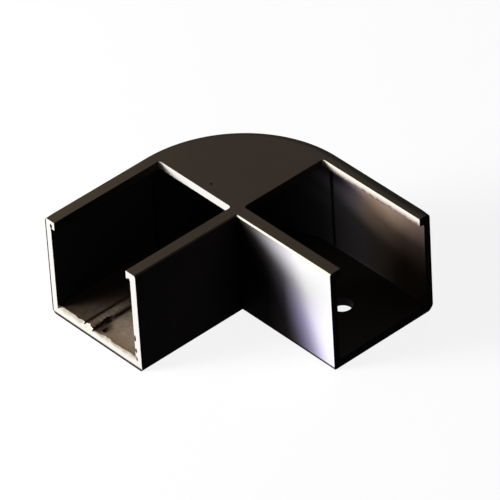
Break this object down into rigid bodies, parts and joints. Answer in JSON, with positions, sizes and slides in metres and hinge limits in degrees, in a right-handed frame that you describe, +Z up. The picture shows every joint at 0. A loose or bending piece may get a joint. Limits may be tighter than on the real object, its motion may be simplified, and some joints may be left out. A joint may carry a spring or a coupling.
{
  "type": "profile elbow connector",
  "caption": "Right-angle elbow of open-topped, lipped channels meeting in a covered round corner, for joining lengths of slotted profile.",
  "frame": {"origin": "where the centre lines of the arms cross, on the underside", "axes": "+X out along arm X, +Y out along arm Y, +Z up, out of the slotted side"},
  "size_m": [0.08, 0.08, 0.036],
  "materials": {
    "elbow_finish": "satin"
  },
  "bodies": {
    "root": {"elbow": "elbow_finish"}
  },
  "joints": []
}
